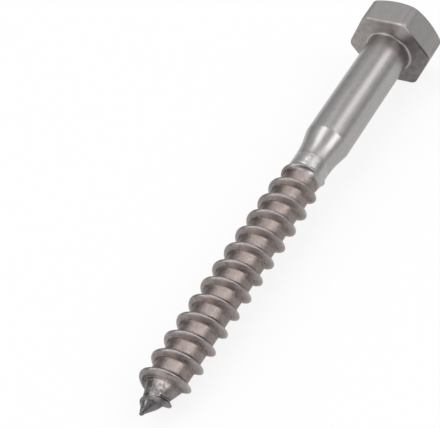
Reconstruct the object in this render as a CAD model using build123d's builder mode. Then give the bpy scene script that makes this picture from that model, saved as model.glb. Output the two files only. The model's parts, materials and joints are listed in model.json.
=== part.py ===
from build123d import *
import os
from math import atan2, ceil, cos, degrees, radians, sin

# A lag screw (hexagon-head wood screw) in millimetres, 10 x 100.
# It is turned and threaded along its own axis: the bearing face under the head is at height 0,
# the head is below it, and the gimlet point is at the top of +Z. The last block lays the
# finished screw down on one flat of its head, as it rests on a table.

# Head
across_flats = 17.0
head_height = 6.7
chamfer_circle_diameter = 16.4      # where the top face ends and the corner chamfer begins
chamfer_angle = 30.0
under_head_fillet = 0.6

# Blank: plain shank, cone, neck, threaded core and a point in two slopes
length = 100.0                      # bearing face to the point
shank_diameter = 9.8
shank_length = 28.4                 # bearing face to the start of the cone
cone_length = 5.4
neck_diameter = 7.86
neck_fillet = 2.5
thread_length = 60.9                # end of the neck to the point
core_diameter = 7.36
core_step_length = 0.8              # slope from the neck down to the core
point_length = 7.7                  # where the core starts to narrow, back from the point
nose_length = 2.1                   # the steeper last stretch of it
nose_diameter = 3.0                 # where that stretch starts
point_blunt_diameter = 0.3

# Thread: one right-hand start
pitch = 4.45
crest_diameter = 9.9
crest_width = 0.65                  # the narrow land along the crest
ridge_base_width = 3.2              # between the flanks where they meet the core
run_out_start_diameter = 7.2        # the run-out starts buried in the neck at this size
run_out_knee_diameter = 8.9         # it rises quickly to this size
run_out_knee_length = 1.9           # over this length
run_out_length = 7.3                # and reaches the full crest over this length
run_out_overlap = 1.8               # how far the run-out reaches back over the neck
crest_taper_length = 6.5            # where the crest starts to fall, back from the point
ridge_end_gap = 0.5                 # the ridge stops this short of the point
ridge_end_height = 0.3              # and stands this proud of the core there
point_angle = 65.6                  # crest at the point, turned from the flat it lies on

# Working allowances
ridge_foot_depth = 0.35             # the ridge's foot goes this deep into the core
steps_per_turn = 14                 # sections that shape the run-out and the tapered end

# Heights that follow from the sizes above
cone_end = shank_length + cone_length
thread_start = length - thread_length
core_start = thread_start + core_step_length
point_start = length - point_length
nose_start = length - nose_length
run_out_start = thread_start - run_out_overlap
run_out_knee = run_out_start + run_out_knee_length
ridge_full = run_out_start + run_out_length
full_turns = int((point_start - ridge_full) / pitch)
turns_end = ridge_full + full_turns * pitch
taper_start = length - crest_taper_length
ridge_end = length - ridge_end_gap

chamfer_drop = (across_flats / cos(radians(30)) - chamfer_circle_diameter) / 2
corner_chamfer = chamfer_drop * sin(radians(chamfer_angle)) / cos(radians(chamfer_angle))

# Radius of the core and of the crest at the heights where their slope changes
core_line = [
    (point_start, core_diameter / 2),
    (nose_start, nose_diameter / 2),
    (length, point_blunt_diameter / 2),
]
crest_line = [
    (run_out_start, run_out_start_diameter / 2),
    (run_out_knee, run_out_knee_diameter / 2),
    (ridge_full, crest_diameter / 2),
    (taper_start, crest_diameter / 2),
]


def radius_at(height, line):
    """Radius at a height, along straight stretches between the line's points."""
    if height <= line[0][0]:
        return line[0][1]
    for (low, low_radius), (high, high_radius) in zip(line, line[1:]):
        if height <= high:
            return low_radius + (high_radius - low_radius) * (height - low) / (high - low)
    return line[-1][1]


crest_line.append((ridge_end, radius_at(ridge_end, core_line) + ridge_end_height))


def ridge_angle(height):
    """Where the crest is at this height, in degrees around the axis."""
    return point_angle - 360 * (length - height) / pitch


def ridge_plane(height):
    """The plane through the axis that the crest crosses at this height: x outwards, y along +Z."""
    angle = radians(ridge_angle(height))
    outwards = (cos(angle), sin(angle), 0)
    return Plane(origin=(0, 0, height), x_dir=outwards, z_dir=(sin(angle), -cos(angle), 0))


def ridge_section(height):
    """Section of the ridge: straight flanks from a foot inside the core to the crest's land."""
    crest_radius = radius_at(height, crest_line)
    root_radius = radius_at(height, core_line)
    share = (crest_radius - root_radius) / (crest_diameter - core_diameter) * 2
    share = min(max(share, 0.2), 1.0)
    land = crest_width / 2 * share
    base = ridge_base_width / 2 * share
    foot_depth = ridge_foot_depth * share
    foot_radius = root_radius - foot_depth
    foot = base + (base - land) / max(crest_radius - root_radius, foot_depth) * foot_depth
    with BuildSketch(ridge_plane(height)) as section:
        with BuildLine():
            Polyline(
                (crest_radius, land),
                (foot_radius, foot),
                (foot_radius, -foot),
                (crest_radius, -land),
                close=True,
            )
        make_face()
    return section.sketch


def loft_ridge(start, end):
    """A stretch of ridge between two heights, through a section every few degrees."""
    steps = ceil((end - start) / pitch * steps_per_turn)
    loft([ridge_section(start + (end - start) * step / steps) for step in range(steps + 1)])


with BuildPart() as thread_turn:
    # One full turn of the ridge, swept along its helix
    with BuildLine() as helix:
        Helix(pitch, pitch, crest_diameter / 2, center=(0, 0, ridge_full))
    crest_path = helix.line.rotate(Axis.Z, ridge_angle(ridge_full))
    sweep(ridge_section(ridge_full), path=crest_path, is_frenet=True)

with BuildPart() as screw:
    # Hexagon, with its corners chamfered around the top face
    with BuildSketch():
        RegularPolygon(across_flats / 2, 6, major_radius=False, rotation=30)
    extrude(amount=-head_height)
    with BuildSketch(Plane.XZ):
        with BuildLine():
            Polyline(
                (0, 0),
                (across_flats, 0),
                (across_flats, corner_chamfer - head_height),
                (chamfer_circle_diameter / 2 + chamfer_drop, corner_chamfer - head_height),
                (chamfer_circle_diameter / 2, -head_height),
                (0, -head_height),
                close=True,
            )
        make_face()
    revolve(axis=Axis.Z, mode=Mode.INTERSECT)

    # Shank, cone, neck, core and point in one turned profile
    with BuildSketch(Plane.XZ):
        with BuildLine():
            Polyline(
                (0, -head_height / 2),
                (shank_diameter / 2, -head_height / 2),
                (shank_diameter / 2, shank_length),
                (neck_diameter / 2, cone_end),
                (neck_diameter / 2, thread_start),
                (core_diameter / 2, core_start),
                (core_diameter / 2, point_start),
                (nose_diameter / 2, nose_start),
                (point_blunt_diameter / 2, length),
                (0, length),
                close=True,
            )
        make_face()
    revolve(axis=Axis.Z)
    circles = screw.edges().filter_by(GeomType.CIRCLE)
    at_face = circles.filter_by_position(Axis.Z, -0.01, 0.01)
    fillet(at_face.sort_by(lambda edge: edge.length)[-1], under_head_fillet)
    circles = screw.edges().filter_by(GeomType.CIRCLE)
    fillet(circles.filter_by_position(Axis.Z, cone_end - 0.01, cone_end + 0.01), neck_fillet)

    # Thread: full turns of the ridge, a run-out into the neck and, over the narrowing core,
    # a stretch at full crest and then the taper to the point
    with Locations([(0, 0, turn * pitch) for turn in range(full_turns)]):
        add(thread_turn.part)
    loft_ridge(run_out_start, ridge_full)
    loft_ridge(turns_end, taper_start)
    loft_ridge(taper_start, ridge_end)

# Lay it down: it rests on the bearing-side edge of one head flat and on the last full crest
# underneath, so the point is the low end.
turns_to_lowest_crest = ceil(crest_taper_length / pitch - point_angle / 360) + point_angle / 360
lowest_crest = length - turns_to_lowest_crest * pitch + crest_width / 2
tilt = degrees(atan2((across_flats - crest_diameter) / 2, lowest_crest))

with BuildPart() as lag_screw:
    with Locations(Rotation(0, 90 + tilt, 0)):
        add(screw.part)
lag_screw.part.label = "lag_screw"

os.makedirs("parts", exist_ok=True)
export_step(lag_screw.part, "parts/lag_screw.step")
print("tilt", round(tilt, 4), "lowest crest", round(lowest_crest, 3))
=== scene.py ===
import json
import math

import bmesh
import bpy
from bpy.props import FloatProperty, FloatVectorProperty, IntProperty, PointerProperty
from mathutils import Matrix, Vector, noise


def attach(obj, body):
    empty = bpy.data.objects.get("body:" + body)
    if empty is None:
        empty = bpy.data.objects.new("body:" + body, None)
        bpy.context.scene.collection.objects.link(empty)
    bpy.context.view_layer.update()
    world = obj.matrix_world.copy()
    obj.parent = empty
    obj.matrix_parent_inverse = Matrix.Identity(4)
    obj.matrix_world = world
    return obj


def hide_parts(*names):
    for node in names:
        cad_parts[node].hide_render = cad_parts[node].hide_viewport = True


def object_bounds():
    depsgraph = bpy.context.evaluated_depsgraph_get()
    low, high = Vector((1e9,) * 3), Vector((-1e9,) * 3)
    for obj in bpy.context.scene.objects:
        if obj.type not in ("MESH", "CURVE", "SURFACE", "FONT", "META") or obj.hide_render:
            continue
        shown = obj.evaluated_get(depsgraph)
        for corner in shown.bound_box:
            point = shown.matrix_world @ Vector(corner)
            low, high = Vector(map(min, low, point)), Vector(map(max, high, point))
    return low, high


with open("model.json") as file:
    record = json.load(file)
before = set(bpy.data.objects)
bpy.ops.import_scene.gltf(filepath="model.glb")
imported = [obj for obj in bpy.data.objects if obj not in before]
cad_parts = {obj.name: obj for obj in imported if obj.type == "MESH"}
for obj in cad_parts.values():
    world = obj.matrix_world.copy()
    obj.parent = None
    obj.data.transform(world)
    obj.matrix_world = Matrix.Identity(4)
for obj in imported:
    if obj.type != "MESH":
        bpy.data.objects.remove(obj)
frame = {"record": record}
CAD_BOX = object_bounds()

bl_info = {
    "name": "Lag screw",
    "version": (1, 0, 0),
    "blender": (4, 5, 0),
    "location": "View3D > Sidebar > Lag screw",
    "description": "Models a hexagon-head lag screw with a gimlet point and sets its studio",
    "category": "Add Mesh",
}

MM = 0.001
TINY = 0.02 * MM                # heights this close are the same
WELD_DISTANCE = TINY / 4        # points this close become one
CUT_DISTANCE = TINY / 20        # points this close to a cut lie on it

MOUNTS = {mount["name"]: mount for mount in frame["record"]["mounts"]}
SCREW_AXIS = Vector(MOUNTS["shank"]["axis"])        # from the bearing face to the point
LEAN = math.atan2(SCREW_AXIS.x, SCREW_AXIS.z)       # turn about Y that lays the screw down
SHANK_RADIUS = MOUNTS["shank"]["dims"]["r_mm"] * MM
FLOOR_HEIGHT = CAD_BOX[0].z

SIDES = 6                       # of the head
COLUMNS = 96                    # faces around the screw, on the head, shank and thread alike
CORNER_STEPS = 4                # faces around each upright corner of the head
FILLET_STEPS = 6
BEARING_EDGE_STEPS = 3
CHAMFER_EDGE_STEPS = 2

BLANK_EASE = 0.12 * MM          # half the length of a bend in the blank's outline
THREAD_EASE = 0.5 * MM          # and of a bend in the lines of the thread's root and crest
MARK_DEPTH = 0.05 * MM          # of the rough band before the thread, where it starts,
MARK_END_DEPTH = 0.02 * MM      # and where it ends
THREAD_GAP = 0.2 * MM           # between the blank's end and the thread's first edge, bridged
WAVE_SIZE = 2.5 * MM            # of the unevenness along the crest
THINNEST_RIDGE = 0.25           # the narrowest the ridge gets, as a share of its full width
RUN_OUT_END = 45 * MM
RUN_OUT_SPREAD = 1.5            # up to there the ridge is wide for its height
BEND_START = 97 * MM            # from here the tip bends off the axis
BEND_LENGTH = 3 * MM
TIP_LEAN = (-0.22 * MM, -0.34 * MM)
TIP_REACH = 0.15 * MM           # how far the bend carries it past the point's height
END_CUT = 0.1 * MM              # how far past that height it is cut off blunt


def distance(name, description, default):
    """A length property in metres, given in millimetres."""
    return FloatProperty(
        name=name, description=description, default=default * MM, min=0, subtype="DISTANCE"
    )


def colour(name, description, default):
    return FloatVectorProperty(
        name=name, description=description, default=default, size=3, min=0, max=1, subtype="COLOR"
    )


def factor(name, description, default):
    return FloatProperty(
        name=name, description=description, default=default, min=0, max=1, subtype="FACTOR"
    )


def angle(name, description, degrees):
    return FloatProperty(
        name=name, description=description, default=math.radians(degrees), subtype="ANGLE"
    )


class HeadSizes(bpy.types.PropertyGroup):
    """Hexagon head, from its top face to the bearing face."""

    across_flats: distance("Across flats", "Between two opposite flats", 17.0)
    height: distance("Height", "Top face to bearing face", 6.7)
    chamfer_circle: distance("Chamfer circle", "Diameter of the flat top face", 16.4)
    chamfer_angle: angle("Chamfer angle", "Slope of the corner chamfer", 30)
    corner_radius: distance("Corner radius", "Rounding of the six upright corners", 1.5)
    face_edge: distance("Bearing edge", "Rounding around the bearing face", 0.42)
    chamfer_edge: distance("Chamfer edge", "Rounding on both sides of the chamfer", 0.1)
    fillet: distance("Fillet", "Radius where the shank meets the bearing face", 0.42)


class BlankSizes(bpy.types.PropertyGroup):
    """Plain shank, cone and neck between the head and the thread."""

    shank_radius: FloatProperty(
        name="Shank radius", description="Half the diameter of the plain shank",
        default=SHANK_RADIUS, min=0, subtype="DISTANCE",
    )
    shank_length: distance("Shank length", "Bearing face to the cone", 28.7)
    cone_end: distance("Cone end", "Bearing face to the neck", 34.0)
    neck_radius: distance("Neck radius", "Half the diameter of the neck", 3.93)
    mark_start: distance("Rolling mark", "Where the rough band before the thread starts", 35.2)
    neck_end: distance("Neck end", "Where the turned blank gives way to the thread", 35.6)


class ThreadSizes(bpy.types.PropertyGroup):
    """Right-hand wood thread and its gimlet point."""

    pitch: distance("Pitch", "Crest to crest", 4.45)
    length: distance("Point height", "Bearing face to the tip", 100.0)
    crest_radius: distance("Crest radius", "Half the diameter over the crests", 4.95)
    core_radius: distance("Core radius", "Half the diameter at the root", 3.62)
    ridge_base: distance("Ridge base", "Half width of the ridge at its foot", 1.9)
    first_crest: distance("First crest", "Height of a crest on the flat it lies on", 32.49)
    turns: IntProperty(name="Turns", description="Turns that are rolled", default=16, min=1)
    waviness: distance("Waviness", "Unevenness of the rolled crest", 0.05)


class SteelLooks(bpy.types.PropertyGroup):
    """Satin stainless steel, as headed and rolled."""

    steel: colour("Steel", "Plain satin steel", (0.4, 0.381, 0.381))
    root_tint: colour("Root tint", "Warm tint left in the thread's roots", (0.345, 0.288, 0.27))
    burr: colour("Burr", "Dark burrs and pits by the point", (0.03, 0.027, 0.025))
    roughness: factor("Roughness", "Of the shank and head", 0.32)
    root_roughness: factor("Root roughness", "Of the thread's roots", 0.4)


class StageLooks(bpy.types.PropertyGroup):
    """Floor, light and camera."""

    floor: colour("Floor", "Plain pale floor", (0.93, 0.93, 0.93))
    floor_size: FloatProperty(
        name="Floor size", description="Side of the floor", default=8.0, unit="LENGTH"
    )
    floor_white: factor("Floor white", "How much of the floor's look is plain white", 0.85)
    floor_sheen: factor("Floor sheen", "How much of that white shows in the steel", 0.6)
    horizon: colour("Horizon", "Studio wall near the floor", (0.42, 0.42, 0.42))
    ceiling: colour("Ceiling", "Studio overhead", (0.7, 0.7, 0.7))
    dim_side: colour("Dim side", "Unlit end of the studio", (0.2, 0.2, 0.2))
    azimuth: angle("Azimuth", "Camera's turn from +X towards +Y", 44.618)
    elevation: angle("Elevation", "Camera's height above the floor", 44.280)
    roll: angle("Roll", "Camera's turn about its own view", 18.035)
    distance: FloatProperty(
        name="Distance", description="From the camera to where it aims", default=0.266053,
        unit="LENGTH",
    )
    lens: FloatProperty(
        name="Lens", description="Focal length on a 36 mm sensor", default=109.201,
        unit="CAMERA",
    )


class ScrewSettings(bpy.types.PropertyGroup):
    """Everything a user would change."""

    head: PointerProperty(type=HeadSizes)
    blank: PointerProperty(type=BlankSizes)
    thread: PointerProperty(type=ThreadSizes)
    steel: PointerProperty(type=SteelLooks)
    stage: PointerProperty(type=StageLooks)


# Lines of radius against height, in metres


def radius_on(line, height):
    """Radius at a height, along straight stretches between the line's points."""
    if height <= line[0][0]:
        return line[0][1]
    for (low, low_radius), (high, high_radius) in zip(line, line[1:]):
        if height <= high:
            share = (height - low) / (high - low)
            return low_radius + (high_radius - low_radius) * share
    return line[-1][1]


def eased_radius(line, height, ease):
    """The same, with the bends of the line rounded over a length."""
    steps = [-1, -0.5, 0, 0.5, 1]
    return sum(radius_on(line, height + step * ease) for step in steps) / len(steps)


def root_line(blank, thread):
    """The neck, the core and the point in two slopes."""
    return [
        (39.1 * MM, blank.neck_radius),         # end of the neck
        (39.9 * MM, thread.core_radius),        # start of the core
        (92.3 * MM, thread.core_radius),        # start of the point
        (97.9 * MM, 1.5 * MM),                  # start of its steeper end
        (thread.length, 0.06 * MM),
    ]


def crest_line(thread):
    """The run-out buried in the neck, the full crest and its fall to the point."""
    return [
        (36.2 * MM, 3.6 * MM),                  # still inside the neck
        (37.2 * MM, 4.3 * MM),                  # risen out of it
        (38.8 * MM, 4.32 * MM),
        (40.5 * MM, 4.52 * MM),
        (44.6 * MM, thread.crest_radius),       # first full crest
        (93.5 * MM, thread.crest_radius),       # last full crest
        (99.4 * MM, 0.7 * MM),
        (thread.length, 0.08 * MM),
    ]


# The cone narrows quickly and then eases into the neck: share of its length, share of its drop
CONE_SHAPE = [
    (0.0, 0.995),
    (0.03, 0.965),
    (0.2, 0.765),
    (0.4, 0.53),
    (0.55, 0.355),
    (0.65, 0.255),
    (0.75, 0.175),
    (0.9, 0.09),
    (1.05, 0.03),
    (1.2, 0.0),
]

# One pitch of the ridge in two halves: distance from the crest in millimetres and share of the
# full height. The crest and the foot are rounded, and the side towards the head is steeper.
HEAD_SIDE = [
    (0.08, 0.992),
    (0.16, 0.962),
    (0.24, 0.905),
    (0.32, 0.81),
    (0.4, 0.69),
    (0.5, 0.52),
    (0.6, 0.35),
    (0.7, 0.2),
    (0.8, 0.095),
    (0.9, 0.04),
    (1.05, 0.015),
    (1.3, 0.004),
    (1.6, 0.001),
    (2.225, 0.0),
]
POINT_SIDE = [
    (0.0, 1.0),
    (0.08, 0.993),
    (0.16, 0.967),
    (0.24, 0.915),
    (0.32, 0.84),
    (0.42, 0.715),
    (0.54, 0.56),
    (0.68, 0.385),
    (0.82, 0.22),
    (0.94, 0.11),
    (1.06, 0.045),
    (1.2, 0.016),
    (1.45, 0.004),
    (1.8, 0.001),
    (2.225, 0.0),
]


# Small helpers for modelling by hand


def select_none():
    if bpy.context.object and bpy.context.object.mode != "OBJECT":
        bpy.ops.object.mode_set(mode="OBJECT")
    bpy.ops.object.select_all(action="DESELECT")


def edit(piece):
    """Opens a piece in edit mode with nothing in it selected."""
    select_none()
    bpy.context.view_layer.objects.active = piece
    piece.select_set(True)
    bpy.ops.object.mode_set(mode="EDIT")
    bpy.ops.mesh.select_mode(type="EDGE")
    bpy.ops.mesh.select_all(action="DESELECT")


def close(piece):
    bpy.ops.object.mode_set(mode="OBJECT")
    return piece


def pick_edges(piece, wanted):
    """Selects only the edges for which wanted(one end, other end, edge) is true."""
    bpy.ops.mesh.select_all(action="DESELECT")
    mesh = bmesh.from_edit_mesh(piece.data)
    for edge in mesh.edges:
        first, second = (corner.co for corner in edge.verts)
        edge.select_set(wanted(first, second, edge))
    mesh.select_flush_mode()
    bmesh.update_edit_mesh(piece.data)
    if not any(edge.select for edge in mesh.edges):
        raise RuntimeError(f"no edges to work on in {piece.name}")


def out_from_axis(point):
    return math.hypot(point.x, point.y)


def between(low, high):
    """Picks edges with both ends between two heights."""
    return lambda first, second, edge: (
        low - TINY < min(first.z, second.z) and max(first.z, second.z) < high + TINY
    )


def level(height):
    """Picks edges that lie at one height."""
    return between(height, height)


def open_rims(low, high):
    """Picks open edges between two heights."""
    inside = between(low, high)
    return lambda first, second, edge: edge.is_boundary and inside(first, second, edge)


def draw_outline(name, points):
    """Draws a chain of edges through (radius, height) points, one extrusion at a time."""
    select_none()
    bpy.ops.mesh.primitive_plane_add(size=MM)
    piece = bpy.context.object
    piece.name = name
    bpy.ops.object.mode_set(mode="EDIT")
    bpy.ops.mesh.select_mode(type="VERT")
    bpy.ops.mesh.select_all(action="SELECT")
    bpy.ops.mesh.merge(type="CENTER")
    places = [Vector((radius, 0, height)) for radius, height in points]
    bpy.ops.transform.translate(value=places[0])
    for start, end in zip(places, places[1:]):
        bpy.ops.mesh.extrude_vertices_move(TRANSFORM_OT_translate={"value": end - start})
    return close(piece)


def turn_outline(piece, rise=0.0, rounds=1):
    """Turns an outline about the axis, or winds it up the axis when it has a rise."""
    winding = piece.modifiers.new("Winding", "SCREW")
    winding.axis = "Z"
    winding.angle = math.tau
    winding.steps = winding.render_steps = COLUMNS
    winding.screw_offset = rise
    winding.iterations = rounds
    winding.use_smooth_shade = True
    bpy.ops.object.modifier_apply(modifier=winding.name)
    edit(piece)
    bpy.ops.mesh.select_all(action="SELECT")
    bpy.ops.mesh.remove_doubles(threshold=WELD_DISTANCE)
    bpy.ops.mesh.normals_make_consistent(inside=False)
    return close(piece)


def cut_across(piece, height, keep_above):
    """Cuts a piece level at a height and throws one side away."""
    edit(piece)
    bpy.ops.mesh.select_all(action="SELECT")
    bpy.ops.mesh.bisect(
        plane_co=(0, 0, height), plane_no=(0, 0, 1),
        clear_inner=keep_above, clear_outer=not keep_above, threshold=CUT_DISTANCE,
    )
    close(piece)


# Head, blank and thread, each along its own axis: bearing face at 0, point up


def hexagon_head(sizes):
    """Hexagon with rounded corners, a chamfered top face and an open bearing side."""
    corner = sizes.across_flats / 2 / math.cos(math.pi / SIDES)
    select_none()
    bpy.ops.mesh.primitive_cylinder_add(
        vertices=SIDES, radius=corner, depth=sizes.height, end_fill_type="NOTHING",
        location=(0, 0, -sizes.height / 2),
    )
    head = bpy.context.object
    head.name = "head"
    bpy.ops.object.transform_apply(location=True)

    edit(head)
    pick_edges(head, lambda first, second, edge: abs(first.z - second.z) > sizes.height / 2)
    bpy.ops.mesh.bevel(
        offset=sizes.corner_radius * math.tan(math.pi / SIDES), segments=CORNER_STEPS,
        affect="EDGES",
    )
    long_edge = sizes.across_flats / 4
    pick_edges(
        head,
        lambda first, second, edge: abs(first.z - second.z) < TINY
        and (first - second).length > long_edge,
    )
    bpy.ops.mesh.subdivide(number_cuts=COLUMNS // SIDES - CORNER_STEPS - 1)

    # The flats stop lower towards the corners, where the chamfer's cone cuts them
    top = -sizes.height
    circle = sizes.chamfer_circle / 2
    pick_edges(head, level(top))
    bpy.ops.mesh.extrude_region_move()
    mesh = bmesh.from_edit_mesh(head.data)
    rim = {vertex for vertex in mesh.verts if vertex.select}
    for vertex in mesh.verts:
        if abs(vertex.co.z - top) > TINY:
            continue
        reach = out_from_axis(vertex.co)
        if vertex in rim:
            vertex.co.x *= circle / reach
            vertex.co.y *= circle / reach
        else:
            vertex.co.z = top + (reach - circle) * math.tan(sizes.chamfer_angle)
    bmesh.update_edit_mesh(head.data)
    bpy.ops.mesh.edge_face_add()
    return close(head)


def turned_blank(head, sizes):
    """Fillet, shank, cone and neck, turned from one outline."""
    shank, neck = sizes.shank_radius, sizes.neck_radius
    outline = []
    for step in range(FILLET_STEPS + 1):
        swing = math.pi / 2 * step / FILLET_STEPS
        outline.append(
            (
                shank + head.fillet * (1 - math.sin(swing)),
                head.fillet * (1 - math.cos(swing)),
            )
        )
    outline += [(shank, 0.5 * sizes.shank_length), (shank, sizes.shank_length - BLANK_EASE)]
    cone_length = sizes.cone_end - sizes.shank_length
    for along, share in CONE_SHAPE:
        outline.append((neck + (shank - neck) * share, sizes.shank_length + cone_length * along))
    outline += [
        (neck, sizes.mark_start - BLANK_EASE),
        (neck - MARK_DEPTH, sizes.mark_start + BLANK_EASE),
        (neck - MARK_END_DEPTH, sizes.neck_end),
    ]
    return turn_outline(draw_outline("blank", outline))


def wood_thread(blank, sizes):
    """One pitch of ridge and root wound up the axis, then fitted to the run-out and the point."""
    crest, core = sizes.crest_radius, sizes.core_radius
    full = crest - core
    rising = [(offset * MM, share) for offset, share in POINT_SIDE]
    falling = [(-offset * MM, share) for offset, share in reversed(HEAD_SIDE)]
    outline = [
        (core + full * share, sizes.first_crest + offset) for offset, share in falling + rising
    ]
    thread = turn_outline(draw_outline("thread", outline), sizes.pitch, sizes.turns)

    roots, crests = root_line(blank, sizes), crest_line(sizes)
    base, half_pitch = sizes.ridge_base, sizes.pitch / 2
    for vertex in thread.data.vertices:
        place = vertex.co
        turn = math.atan2(place.y, place.x) / math.tau % 1
        low = sizes.first_crest + sizes.pitch * turn
        crest_height = low + sizes.pitch * round((place.z - low) / sizes.pitch)
        offset = place.z - crest_height
        reach = out_from_axis(place)
        share = (reach - core) / full

        top = eased_radius(crests, crest_height, THREAD_EASE)
        bottom = eased_radius(roots, crest_height, THREAD_EASE)
        spread = RUN_OUT_SPREAD if crest_height < RUN_OUT_END else 1.0
        width = min(max((top - bottom) / full * spread, THINNEST_RIDGE), 1.0)
        inside = min(abs(offset), base) * width
        outside = max(abs(offset) - base, 0) * (half_pitch - base * width) / (half_pitch - base)
        place.z = crest_height + math.copysign(inside + outside, offset)

        top += sizes.waviness * share * noise.noise(place / WAVE_SIZE) * width
        root = eased_radius(roots, place.z, THREAD_EASE)
        radius = root + (max(top, root) - root) * share
        place.x *= radius / reach
        place.y *= radius / reach
        bent = max(place.z - BEND_START, 0) / BEND_LENGTH
        place.x += TIP_LEAN[0] * bent
        place.y += TIP_LEAN[1] * bent
        place.z += TIP_REACH * bent
    cut_across(thread, blank.neck_end + THREAD_GAP, keep_above=True)
    cut_across(thread, sizes.length + END_CUT, keep_above=False)
    return thread


def join_screw(head, blank, thread, settings):
    """Joins the three lengths into one closed surface and rounds the head's edges."""
    select_none()
    for piece in (head, blank, thread):
        piece.select_set(True)
    bpy.context.view_layer.objects.active = head
    bpy.ops.object.join()
    screw = bpy.context.object
    screw.name = screw.data.name = "formed_lag_screw"

    neck_end = settings.blank.neck_end
    tip = settings.thread.length + END_CUT
    edit(screw)
    pick_edges(screw, open_rims(0, 0))
    bpy.ops.mesh.bridge_edge_loops()
    pick_edges(screw, open_rims(neck_end, neck_end + THREAD_GAP))
    bpy.ops.mesh.bridge_edge_loops()
    pick_edges(screw, open_rims(tip, tip))
    bpy.ops.mesh.edge_face_add()

    # Round the edge of the bearing face, then both edges of the chamfer
    sizes = settings.head

    def side_edge(low, high):
        """Picks edges on the flats and corners between two heights."""
        inside = between(low, high)
        beyond = sizes.across_flats / 2 - TINY
        return lambda first, second, edge: (
            inside(first, second, edge)
            and min(out_from_axis(first), out_from_axis(second)) > beyond
        )

    for wanted, rounding, steps in (
        (side_edge(0, 0), sizes.face_edge, BEARING_EDGE_STEPS),
        (side_edge(-sizes.height, -sizes.height / 2), sizes.chamfer_edge, CHAMFER_EDGE_STEPS),
        (level(-sizes.height), sizes.chamfer_edge, CHAMFER_EDGE_STEPS),
    ):
        pick_edges(screw, wanted)
        bpy.ops.mesh.bevel(offset=rounding, segments=steps, affect="EDGES")

    bpy.ops.mesh.select_all(action="SELECT")
    bpy.ops.mesh.normals_make_consistent(inside=False)
    mesh = bmesh.from_edit_mesh(screw.data)
    gaps = sum(not edge.is_manifold for edge in mesh.edges)
    if gaps:
        raise RuntimeError(f"the screw's surface is open at {gaps} edges")
    return close(screw)


# Materials


class Value:
    """A number that varies over the surface, carried by a node's socket."""

    def __init__(self, finish, socket):
        self.finish = finish
        self.socket = socket

    def math(self, operation, *others):
        return self.finish.node(
            "ShaderNodeMath", {"operation": operation}, dict(enumerate((self, *others)))
        )[0]

    def __add__(self, other):
        return self.math("ADD", other)

    def __mul__(self, other):
        return self.math("MULTIPLY", other)

    def __sub__(self, other):
        return self.math("SUBTRACT", other)

    def __truediv__(self, other):
        return self.math("DIVIDE", other)

    def __rsub__(self, other):
        return self.finish.constant(other).math("SUBTRACT", self)

    __radd__ = __add__

    def up_to(self, low, high):
        """0 below the lower bound, 1 above the upper one and smooth between."""
        return self.finish.node(
            "ShaderNodeMapRange", {"interpolation_type": "SMOOTHSTEP"},
            {"Value": self, "From Min": low, "From Max": high},
        )[0]

    def band(self, low, high, ease):
        """1 between two bounds and 0 outside them."""
        return self.up_to(low - ease, low + ease) * (1 - self.up_to(high - ease, high + ease))

    def within(self, *limits):
        """A band from its three limits, or a rise from 0 at the first of two to 1 at the other."""
        if len(limits) == 3:
            return self.band(*limits)
        first, second = limits
        return self.up_to(first, second) if first < second else 1 - self.up_to(second, first)


class Finish:
    """A material or world that is being put together."""

    def __init__(self, tree):
        self.tree = tree
        tree.nodes.clear()

    def node(self, kind, settings=None, inputs=None):
        """Adds a node: its settings first, then its sockets. Gives its outputs."""
        made = self.tree.nodes.new(kind)
        for name, value in (settings or {}).items():
            setattr(made, name, value)
        for name, value in (inputs or {}).items():
            socket = made.inputs[name]
            if isinstance(value, Value):
                self.tree.links.new(value.socket, socket)
            else:
                socket.default_value = value
        return [Value(self, output) for output in made.outputs]

    def constant(self, number):
        return self.node("ShaderNodeMath", {"operation": "ADD"}, {0: number, 1: 0.0})[0]

    def colour_mix(self, share, first, second):
        """Goes from the first colour to the second as the share rises."""
        return self.node(
            "ShaderNodeMix", {"data_type": "RGBA"}, {"Factor": share, 6: first, 7: second}
        )[2]

    def speckle(self, place, stretch, scale, detail, roughness):
        """Noise between 0 and 1, stretched along the axes."""
        stretched = self.node("ShaderNodeMapping", {}, {"Vector": place, "Scale": stretch})[0]
        return self.node(
            "ShaderNodeTexNoise", {},
            {"Vector": stretched, "Scale": scale, "Detail": detail, "Roughness": roughness},
        )[0]


def rgba(shade):
    return (*shade, 1.0)


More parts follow.
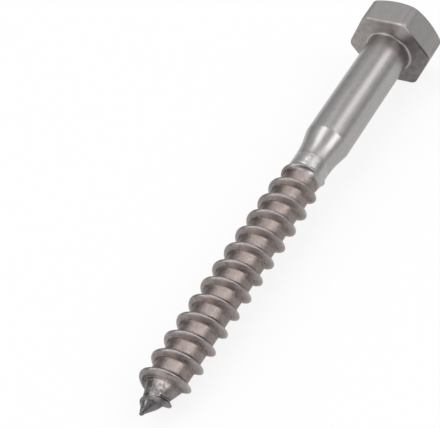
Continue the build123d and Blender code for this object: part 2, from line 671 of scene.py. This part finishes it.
# Zones of the steel's surface, each 1 inside and 0 outside, by limits on where a place on it is:
#   height      along the screw from the bearing face, in millimetres
#   reach       out from the axis, in millimetres
#   turn        around the axis, in shares of a circle: 0 is the underside, 0.25 the front, which
#               is the side of +Y, 0.5 the top and 0.75 the back
#   offset      from the nearest crest towards the point, in millimetres
#   beside      the same, on either side of the crest
#   over_flat   out over one flat of the head, in millimetres
# Three limits are the two ends of a band and half the length over which each end fades. Two are
# a rise from 0 at the first to 1 at the second. "of" names an earlier zone that holds this one.
ZONES = {
    "bearing": {"height": (-0.3, 0.12, 0.1), "reach": (5.3, 5.6)},
    "bearing_front": {"of": "bearing", "turn": (0.38, 0.34)},
    "bearing_bright": {"of": "bearing", "turn": (0.385, 0.435, 0.025)},
    "bearing_edge": {"height": (-0.4, 0.1, 0.05), "over_flat": (8.1, 8.25)},
    "corner": {"height": (-0.3, -1.2), "reach": (9.3, 9.45)},
    "shank": {"height": (0.3, 35.0, 0.2)},
    "shank_start": {"height": (0.3, 5.0, 1.5)},
    "neck": {"height": (35.2, 38.9, 0.15), "reach": (4.4, 4.1)},
    "neck_front": {"of": "neck", "turn": (0.32, 0.38, 0.02)},
    "neck_bright": {"of": "neck", "turn": (0.41, 0.48, 0.02)},
    "threaded": {"height": (39.7, 97.0, 0.5)},
    "tinted": {"of": "threaded", "reach": (5.2, 4.2)},
    "tinted_bright": {"of": "tinted", "turn": (0.4, 0.45, 0.04)},
    "root": {"of": "threaded", "reach": (4.2, 3.75)},
    "root_front": {"of": "root", "turn": (0.38, 0.33)},
    "root_back": {"of": "root", "turn": (0.42, 0.58)},
    "foot": {"of": "threaded", "offset": (0.92, 1.12, 0.1)},
    "foot_front": {"of": "threaded", "offset": (1.1, 1.8, 0.15), "turn": (0.38, 0.33)},
    "flank": {"of": "threaded", "beside": (0.28, 1.0, 0.1)},
    "flank_bright": {"of": "flank", "turn": (0.44, 0.505, 0.025)},
    "crest": {"of": "threaded", "beside": (0.4, 0.15)},
    "crest_front": {"of": "crest", "turn": (0.28, 0.4, 0.03)},
    "crest_bright": {"of": "crest", "turn": (0.42, 0.465, 0.02)},
    "crest_back": {"of": "crest", "turn": (0.47, 0.52)},
    "point": {"height": (92.0, 95.0)},
    "point_bright": {"height": (93.3, 95.9, 0.4), "turn": (0.36, 0.45, 0.06)},
    "burred": {"height": (94.6, 98.6, 0.4), "offset": (-1.2, -0.5, 0.2), "turn": (0.32, 0.4, 0.03)},
    "tip": {"height": (96.5, 97.3)},
}
FLAT_ANGLE = math.radians(120)          # which way that flat faces, from the underside

# Marks on the steel, as noise: its stretch along the axes, scale, detail and roughness
MARKS = {
    "drawn": ((1, 1, 0.04), 1.6, 3.0, 0.6),         # lengthwise drawing lines
    "rings": ((0.25, 0.25, 2.2), 1.2, 2.0, 0.6),    # left by the rolls around the neck
    "rolled": ((0.22, 0.22, 3.0), 1.0, 3.0, 0.65),  # fine lines along the flanks
    "mottled": ((1, 1, 1), 0.7, 3.0, 0.55),
    "grain": ((1, 1, 1), 3.2, 4.0, 0.65),
    "pitted": ((1, 1, 1), 2.0, 2.0, 0.6),
}
PITS = (0.52, 0.6)                      # pitted noise where a pit starts, and where it is full
GLINT_NOISE = (0.38, 0.68)                 # mottled noise where a painted glint starts, and where it is full
GLINT_LIGHT = 2.2                      # how much lighter the painted glint is

# How much lighter a zone is, or darker below 0, and how strong a mark is in a zone or all over.
# The front, back and bright zones are painted light and shade: they stay where they are on the
# screw, however it is turned or lit.
ZONE_LIGHT = {
    "bearing": -0.08,
    "bearing_front": -0.3,
    "bearing_bright": 1.1,
    # Painted shade: a dark line along the bearing edge of one flat
    "bearing_edge": -0.3,
    # Painted shade that dulls the highlights on the head's upright corners
    "corner": -0.15,
    "neck": 0.12,
    "neck_front": -0.25,
    "neck_bright": 0.35,
    "tinted_bright": 0.25,
    "root_front": -0.25,
    "root_back": -0.5,
    # Painted shade in the crease at the foot of each ridge, deeper on the front
    "foot": -0.12,
    "foot_front": -0.18,
    # Painted shade over the flanks of the thread
    "flank": -0.15,
    "flank_bright": 0.4,
    "crest_front": -0.2,
    "crest_bright": 0.4,
    "crest_back": -0.3,
    "point": -0.18,
    "tip": -0.36,
}
MARK_LIGHT = [
    ("drawn", "shank", 0.22),
    ("rings", "neck", 0.9),
    ("rolled", "flank", 1.3),
    ("mottled", None, 0.2),
    ("mottled", "threaded", 0.4),
    ("mottled", "bearing", 0.6),
    ("grain", "tinted", 0.85),
    ("grain", "flank", 0.3),
]
ZONE_TINT = {"tinted": 1.0, "bearing": 0.2, "shank_start": 0.3}     # how much of the root tint
POINT_TINT_LOSS = 0.7                   # and how much of it the point lacks
ZONE_ROUGHNESS = {"bearing": 0.18, "corner": 0.3, "point": -0.08}
PIT_ROUGHNESS = 0.3
MOTTLED_ROUGHNESS = 0.12
RELIEF = [                              # heights of the marks, in millimetres
    ("drawn", "shank", 0.006),
    ("rings", "neck", 0.12),
    ("rolled", "flank", 0.05),
    ("mottled", None, 0.02),
    ("mottled", "point", 0.25),
    ("grain", None, 0.003),
    ("grain", "tinted", 0.06),
]


def satin_steel(settings):
    """Satin stainless steel: drawn shank, headed hexagon, rolled thread with tinted roots."""
    looks, thread = settings.steel, settings.thread
    material = bpy.data.materials.new("satin_stainless_steel")
    material.use_nodes = True
    finish = Finish(material.node_tree)

    # The screw's own frame in millimetres: z from the bearing face towards the point
    place = finish.node("ShaderNodeTexCoord")[3]
    own = finish.node(
        "ShaderNodeMapping", {},
        {"Vector": place, "Rotation": (0, -LEAN, 0), "Scale": (1 / MM,) * 3},
    )[0]
    x, y, height = finish.node("ShaderNodeSeparateXYZ", {}, {0: own})
    reach = (x * x + y * y).math("SQRT")
    turn = (y * -1).math("ARCTAN2", x * -1) / math.tau + 0.5
    pitch = thread.pitch / MM
    phase = (height - thread.first_crest / MM) / pitch - turn + 0.5
    offset = (phase.math("FRACT") - 0.5) * pitch
    beside = offset.math("ABSOLUTE")
    measures = {
        "height": height,
        "reach": reach,
        "turn": turn,
        "offset": offset,
        "beside": beside,
        "over_flat": x * math.cos(FLAT_ANGLE) + y * math.sin(FLAT_ANGLE),
    }

    zones = {}
    for name, limits in ZONES.items():
        zone = zones.get(limits.get("of"))
        for measure, bounds in limits.items():
            if measure != "of":
                inside = measures[measure].within(*bounds)
                zone = zone * inside if zone else inside
        zones[name] = zone

    # The rolled lines follow the ridge, and the other marks lie along the axes
    along = finish.node("ShaderNodeCombineXYZ", {}, {0: x, 1: y, 2: reach - beside})[0]
    marks = {
        name: finish.speckle(along if name == "rolled" else own, *pattern)
        for name, pattern in MARKS.items()
    }
    shades = {name: mark - 0.5 for name, mark in marks.items()}
    pits = zones["burred"] * marks["pitted"].up_to(*PITS)
    # Painted highlight: mottled glints on the point's cone, in the point_bright zone between the
    # front and the top
    painted_glints = zones["point_bright"] * marks["mottled"].up_to(*GLINT_NOISE)

    def by_zone(amounts):
        """Adds up zones, each times its amount."""
        return sum(zones[zone] * amount for zone, amount in amounts.items())

    def by_mark(patterns, amounts):
        """Adds up marks, each times its amount, inside its zone or all over."""
        return sum(
            patterns[mark] * (zones[zone] * amount if zone else amount)
            for mark, zone, amount in amounts
        )

    tint = finish.colour_mix(
        by_zone(ZONE_TINT) - zones["tinted"] * zones["point"] * POINT_TINT_LOSS,
        rgba(looks.steel), rgba(looks.root_tint),
    )
    light_and_dark = (
        1 + by_zone(ZONE_LIGHT) + by_mark(shades, MARK_LIGHT) + painted_glints * GLINT_LIGHT
    )
    shade = finish.node(
        "ShaderNodeVectorMath", {"operation": "SCALE"}, {0: tint, "Scale": light_and_dark}
    )[0]
    shade = finish.colour_mix(pits, shade, rgba(looks.burr))

    roughness = (
        looks.roughness
        + zones["tinted"] * (looks.root_roughness - looks.roughness)
        + by_zone(ZONE_ROUGHNESS)
        + shades["mottled"] * MOTTLED_ROUGHNESS
        + pits * PIT_ROUGHNESS
    )
    normal = finish.node(
        "ShaderNodeBump", {},
        {"Strength": 1.0, "Distance": MM, "Height": by_mark(marks, RELIEF)},
    )[0]
    steel = finish.node(
        "ShaderNodeBsdfPrincipled", {},
        {"Base Color": shade, "Metallic": 1.0, "Roughness": roughness, "Normal": normal},
    )[0]
    finish.node("ShaderNodeOutputMaterial", {}, {"Surface": steel})
    return material


FLOOR_ROUGHNESS = 0.9


def pale_floor(looks):
    """Pale floor that shows mostly white, and keeps a soft shadow."""
    material = bpy.data.materials.new("pale_floor")
    material.use_nodes = True
    finish = Finish(material.node_tree)
    paint = finish.node(
        "ShaderNodeBsdfPrincipled", {},
        {"Base Color": rgba(looks.floor), "Roughness": FLOOR_ROUGHNESS},
    )[0]
    white = finish.node("ShaderNodeEmission", {}, {"Color": (1, 1, 1, 1), "Strength": 1.0})[0]
    path = finish.node("ShaderNodeLightPath")
    named = {output.socket.name: output for output in path}
    mirrored = named["Is Glossy Ray"] + named["Is Transmission Ray"]
    seen = named["Is Camera Ray"] * looks.floor_white + mirrored * looks.floor_sheen
    mixed = finish.node("ShaderNodeMixShader", {}, {0: seen, 1: paint, 2: white})[0]
    finish.node("ShaderNodeOutputMaterial", {}, {"Surface": mixed})
    return material


CEILING_START = 0.8                     # how far up the wall has turned into the ceiling
DIM_SIDE = Vector((0.93, 0.35, 0.12)).normalized()      # the unlit end, past the point
DIM_EDGE = (0.85, 0.95)                 # cosines from its middle, between which it fades in


def studio_world(looks):
    """Soft surrounding light, brighter overhead and dim on the side of the point."""
    world = bpy.data.worlds.new("studio")
    world.use_nodes = True
    finish = Finish(world.node_tree)
    place = finish.node("ShaderNodeTexCoord")[0]
    up = finish.node("ShaderNodeSeparateXYZ", {}, {0: place})[2]
    shade = finish.colour_mix(
        up.up_to(0.0, CEILING_START), rgba(looks.horizon), rgba(looks.ceiling)
    )
    facing = finish.node(
        "ShaderNodeVectorMath", {"operation": "DOT_PRODUCT"}, {0: place, 1: DIM_SIDE}
    )[1]
    shade = finish.colour_mix(facing.up_to(*DIM_EDGE), shade, rgba(looks.dim_side))
    light = finish.node("ShaderNodeBackground", {}, {"Color": shade, "Strength": 1.0})[0]
    finish.node("ShaderNodeOutputWorld", {}, {"Surface": light})
    return world


# Softboxes: name, where it stands from the screw, width and height in metres, brightness
SOFTBOXES = [
    ("side_softbox", (-0.16, 0.78, 0.6), (0.75, 0.7), 2.6),
    ("top_softbox", (-0.17, -0.25, 0.95), (0.75, 0.7), 2.3),
    ("back_softbox", (-0.62, 0.42, 0.66), (0.5, 0.6), 1.6),
    ("end_softbox", (0.6, -0.52, 0.6), (0.5, 0.85), 3.0),
    ("low_reflector", (0.88, -0.42, 0.2), (1.0, 0.45), 0.6),
]
SOFTBOX_DISTANCE = 1.5


def hang_softbox(name, towards, size, brightness, aim):
    """A rectangular lamp of an even brightness, turned to the screw."""
    towards = Vector(towards).normalized()
    data = bpy.data.lights.new(name, "AREA")
    data.shape = "RECTANGLE"
    data.size, data.size_y = size
    data.energy = brightness * math.pi * size[0] * size[1]
    lamp = bpy.data.objects.new(name, data)
    lamp.location = aim + towards * SOFTBOX_DISTANCE
    lamp.rotation_euler = towards.to_track_quat("Z", "Y").to_euler()
    lamp.visible_camera = False
    bpy.context.collection.objects.link(lamp)


AIM = Vector((0.054689, -0.010144, 0.0))        # where the camera's middle ray meets z = 0
SENSOR_WIDTH = 36                               # in millimetres
NEAREST_SEEN = 0.01                             # in metres


class LAGSCREW_OT_model(bpy.types.Operator):
    """Model the hexagon head, plain shank and wood thread as one closed piece"""

    bl_idname = "lag_screw.model"
    bl_label = "Model the screw"

    def execute(self, context):
        settings = context.scene.lag_screw
        head = hexagon_head(settings.head)
        blank = turned_blank(settings.head, settings.blank)
        thread = wood_thread(settings.blank, settings.thread)
        screw = join_screw(head, blank, thread, settings)

        select_none()
        bpy.context.view_layer.objects.active = screw
        screw.select_set(True)
        screw.rotation_euler = (0, LEAN, 0)
        bpy.ops.object.transform_apply(location=True, rotation=True, scale=True)
        bpy.ops.object.shade_smooth()
        evened = screw.modifiers.new("Evened", "WEIGHTED_NORMAL")
        bpy.ops.object.modifier_apply(modifier=evened.name)
        screw.data.materials.append(satin_steel(settings))
        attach(screw, "root")
        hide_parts("lag_screw")
        return {"FINISHED"}


class LAGSCREW_OT_stage(bpy.types.Operator):
    """Set the pale floor, the soft light and the camera"""

    bl_idname = "lag_screw.stage"
    bl_label = "Set the stage"

    def execute(self, context):
        looks = context.scene.lag_screw.stage
        select_none()
        bpy.ops.mesh.primitive_plane_add(size=looks.floor_size, location=(0, 0, FLOOR_HEIGHT))
        floor = context.object
        floor.name = "floor"
        floor.data.materials.append(pale_floor(looks))

        middle = (CAD_BOX[0] + CAD_BOX[1]) / 2
        for name, towards, size, brightness in SOFTBOXES:
            hang_softbox(name, towards, size, brightness, middle)
        context.scene.world = studio_world(looks)
        context.scene.view_settings.view_transform = "Standard"

        flat = math.cos(looks.elevation)
        towards = Vector(
            (
                flat * math.cos(looks.azimuth),
                flat * math.sin(looks.azimuth),
                math.sin(looks.elevation),
            )
        )
        data = bpy.data.cameras.new("studio_camera")
        data.sensor_width = SENSOR_WIDTH
        data.lens = looks.lens
        data.clip_start = NEAREST_SEEN
        camera = bpy.data.objects.new("studio_camera", data)
        camera.matrix_world = (
            Matrix.Translation(AIM + towards * looks.distance)
            @ towards.to_track_quat("Z", "Y").to_matrix().to_4x4()
            @ Matrix.Rotation(-looks.roll, 4, "Z")
        )
        context.collection.objects.link(camera)
        context.scene.camera = camera
        return {"FINISHED"}


class LAGSCREW_PT_panel(bpy.types.Panel):
    """Lists the sizes, the looks and the two steps"""

    bl_idname = "LAGSCREW_PT_panel"
    bl_label = "Lag screw"
    bl_space_type = "VIEW_3D"
    bl_region_type = "UI"
    bl_category = "Lag screw"

    def draw(self, context):
        settings = context.scene.lag_screw
        for part in ("head", "blank", "thread", "steel", "stage"):
            group = getattr(settings, part)
            box = self.layout.box()
            box.label(text=part.capitalize())
            for name in group.bl_rna.properties.keys():
                if name not in ("rna_type", "name"):
                    box.prop(group, name)
        self.layout.operator(LAGSCREW_OT_model.bl_idname)
        self.layout.operator(LAGSCREW_OT_stage.bl_idname)


CLASSES = (
    HeadSizes,
    BlankSizes,
    ThreadSizes,
    SteelLooks,
    StageLooks,
    ScrewSettings,
    LAGSCREW_OT_model,
    LAGSCREW_OT_stage,
    LAGSCREW_PT_panel,
)


def register():
    for kind in CLASSES:
        bpy.utils.register_class(kind)
    bpy.types.Scene.lag_screw = PointerProperty(type=ScrewSettings)


def unregister():
    del bpy.types.Scene.lag_screw
    for kind in reversed(CLASSES):
        bpy.utils.unregister_class(kind)


def main():
    register()
    bpy.ops.lag_screw.model()
    bpy.ops.lag_screw.stage()


if __name__ == "__main__":
    main()
